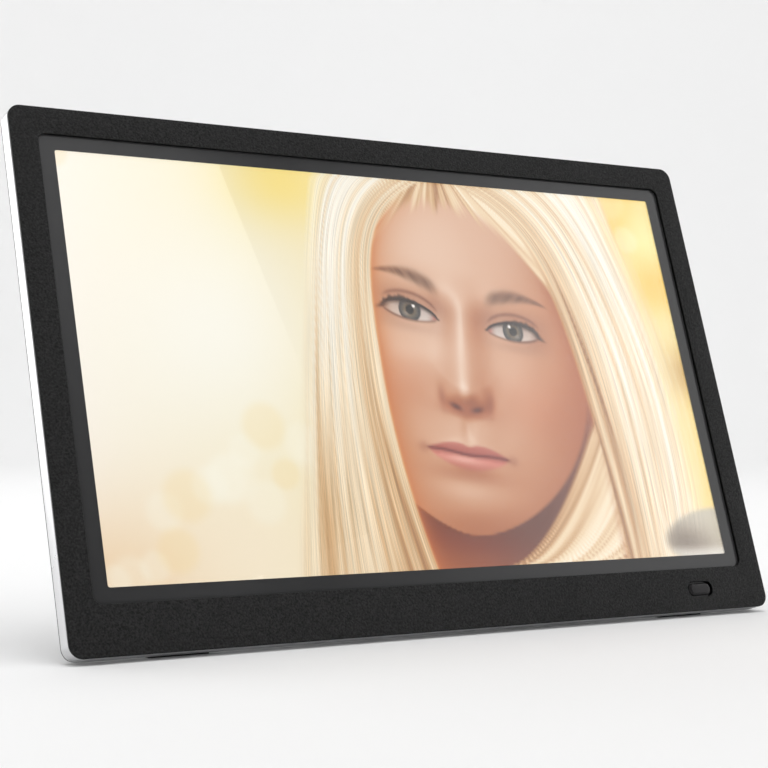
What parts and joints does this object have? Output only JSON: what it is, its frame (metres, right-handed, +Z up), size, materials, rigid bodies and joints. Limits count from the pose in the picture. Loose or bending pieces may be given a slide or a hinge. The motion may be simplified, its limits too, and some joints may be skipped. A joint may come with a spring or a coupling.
{
  "type": "digital photo frame",
  "caption": "Wide black digital photo frame with a silver side band, leaning back on a fold-out rear leg, with rear control buttons and side sockets.",
  "frame": {"origin": "centre of the footprint, on the table", "axes": "+X to the right of a person facing the screen, +Y from the screen to the back, +Z up"},
  "size_m": [0.385, 0.1062, 0.2339],
  "materials": {
    "bezel": "fine-grain black",
    "band": "satin silver",
    "cover": "matt black",
    "leg": "matt black",
    "glass": "clear, dark border",
    "cell": "lit picture",
    "film": "white",
    "acrylic": "clear",
    "steel": "plain",
    "board": "green solder mask",
    "chip": "black moulded",
    "aluminium": "plain",
    "rubber": "black",
    "ribbon": "white film",
    "cable": "black sleeve",
    "speaker": "black paper",
    "window": "dark translucent"
  },
  "bodies": {
    "casing": {"board_screw_1": "steel", "board_screw_2": "steel", "board_screw_3": "steel", "board_screw_4": "steel", "bracket_screw_1": "steel", "bracket_screw_2": "steel", "card_socket": "steel", "clock_cell": "steel", "cover_glass": "glass", "cover_screw_1": "steel", "cover_screw_2": "steel", "cover_screw_3": "steel", "cover_screw_4": "steel", "cover_screw_5": "steel", "cover_screw_6": "steel", "display_cable": "ribbon", "foot_left": "rubber", "foot_right": "rubber", "front_bezel": "bezel", "headphone_socket": "chip", "heat_spreader": "aluminium", "hinge_washer_left": "steel", "hinge_washer_right": "steel", "ir_board": "board", "ir_receiver": "chip", "ir_window": "window", "key_board": "board", "key_cable": "ribbon", "lcd_back_tray": "steel", "lcd_cell": "cell", "lcd_driver_board": "board", "lcd_front_frame": "steel", "led_bar": "film", "light_guide_plate": "acrylic", "main_board": "board", "optical_sheets": "film", "power_socket": "chip", "processor_chip": "chip", "rear_cover": "cover", "receiver_cable": "cable", "reflector_sheet": "film", "side_band": "band", "small_usb_socket": "steel", "speaker_cable_left": "cable", "speaker_cable_right": "cable", "speaker_left": "speaker", "speaker_right": "speaker", "stand_bracket": "steel", "stand_pin": "steel", "usb_socket": "steel"},
    "stand": {"stand_leg": "leg", "stand_foot_pad": "rubber"},
    "button_1": {"button_1": "cover"},
    "button_2": {"button_2": "cover"},
    "button_3": {"button_3": "cover"},
    "button_4": {"button_4": "cover"},
    "button_5": {"button_5": "cover"},
    "button_6": {"button_6": "cover"},
    "button_7": {"button_7": "cover"}
  },
  "joints": [
    {"name": "stand_fold", "type": "hinge", "parent": "casing", "child": "stand", "pos_m": [0, 0.01218, 0.13989], "axis": [1, 0, 0], "range_deg": [-32, 0]},
    {"name": "button_1_press", "type": "slide", "parent": "casing", "child": "button_1", "axis": [0, -0.9563, 0.2924], "range_m": [0, 0.0006], "stiffness_N_per_m": 300},
    {"name": "button_2_press", "type": "slide", "parent": "casing", "child": "button_2", "axis": [0, -0.9563, 0.2924], "range_m": [0, 0.0006], "stiffness_N_per_m": 300},
    {"name": "button_3_press", "type": "slide", "parent": "casing", "child": "button_3", "axis": [0, -0.9563, 0.2924], "range_m": [0, 0.0006], "stiffness_N_per_m": 300},
    {"name": "button_4_press", "type": "slide", "parent": "casing", "child": "button_4", "axis": [0, -0.9563, 0.2924], "range_m": [0, 0.0006], "stiffness_N_per_m": 300},
    {"name": "button_5_press", "type": "slide", "parent": "casing", "child": "button_5", "axis": [0, -0.9563, 0.2924], "range_m": [0, 0.0006], "stiffness_N_per_m": 300},
    {"name": "button_6_press", "type": "slide", "parent": "casing", "child": "button_6", "axis": [0, -0.9563, 0.2924], "range_m": [0, 0.0006], "stiffness_N_per_m": 300},
    {"name": "button_7_press", "type": "slide", "parent": "casing", "child": "button_7", "axis": [0, -0.9563, 0.2924], "range_m": [0, 0.0006], "stiffness_N_per_m": 300}
  ]
}
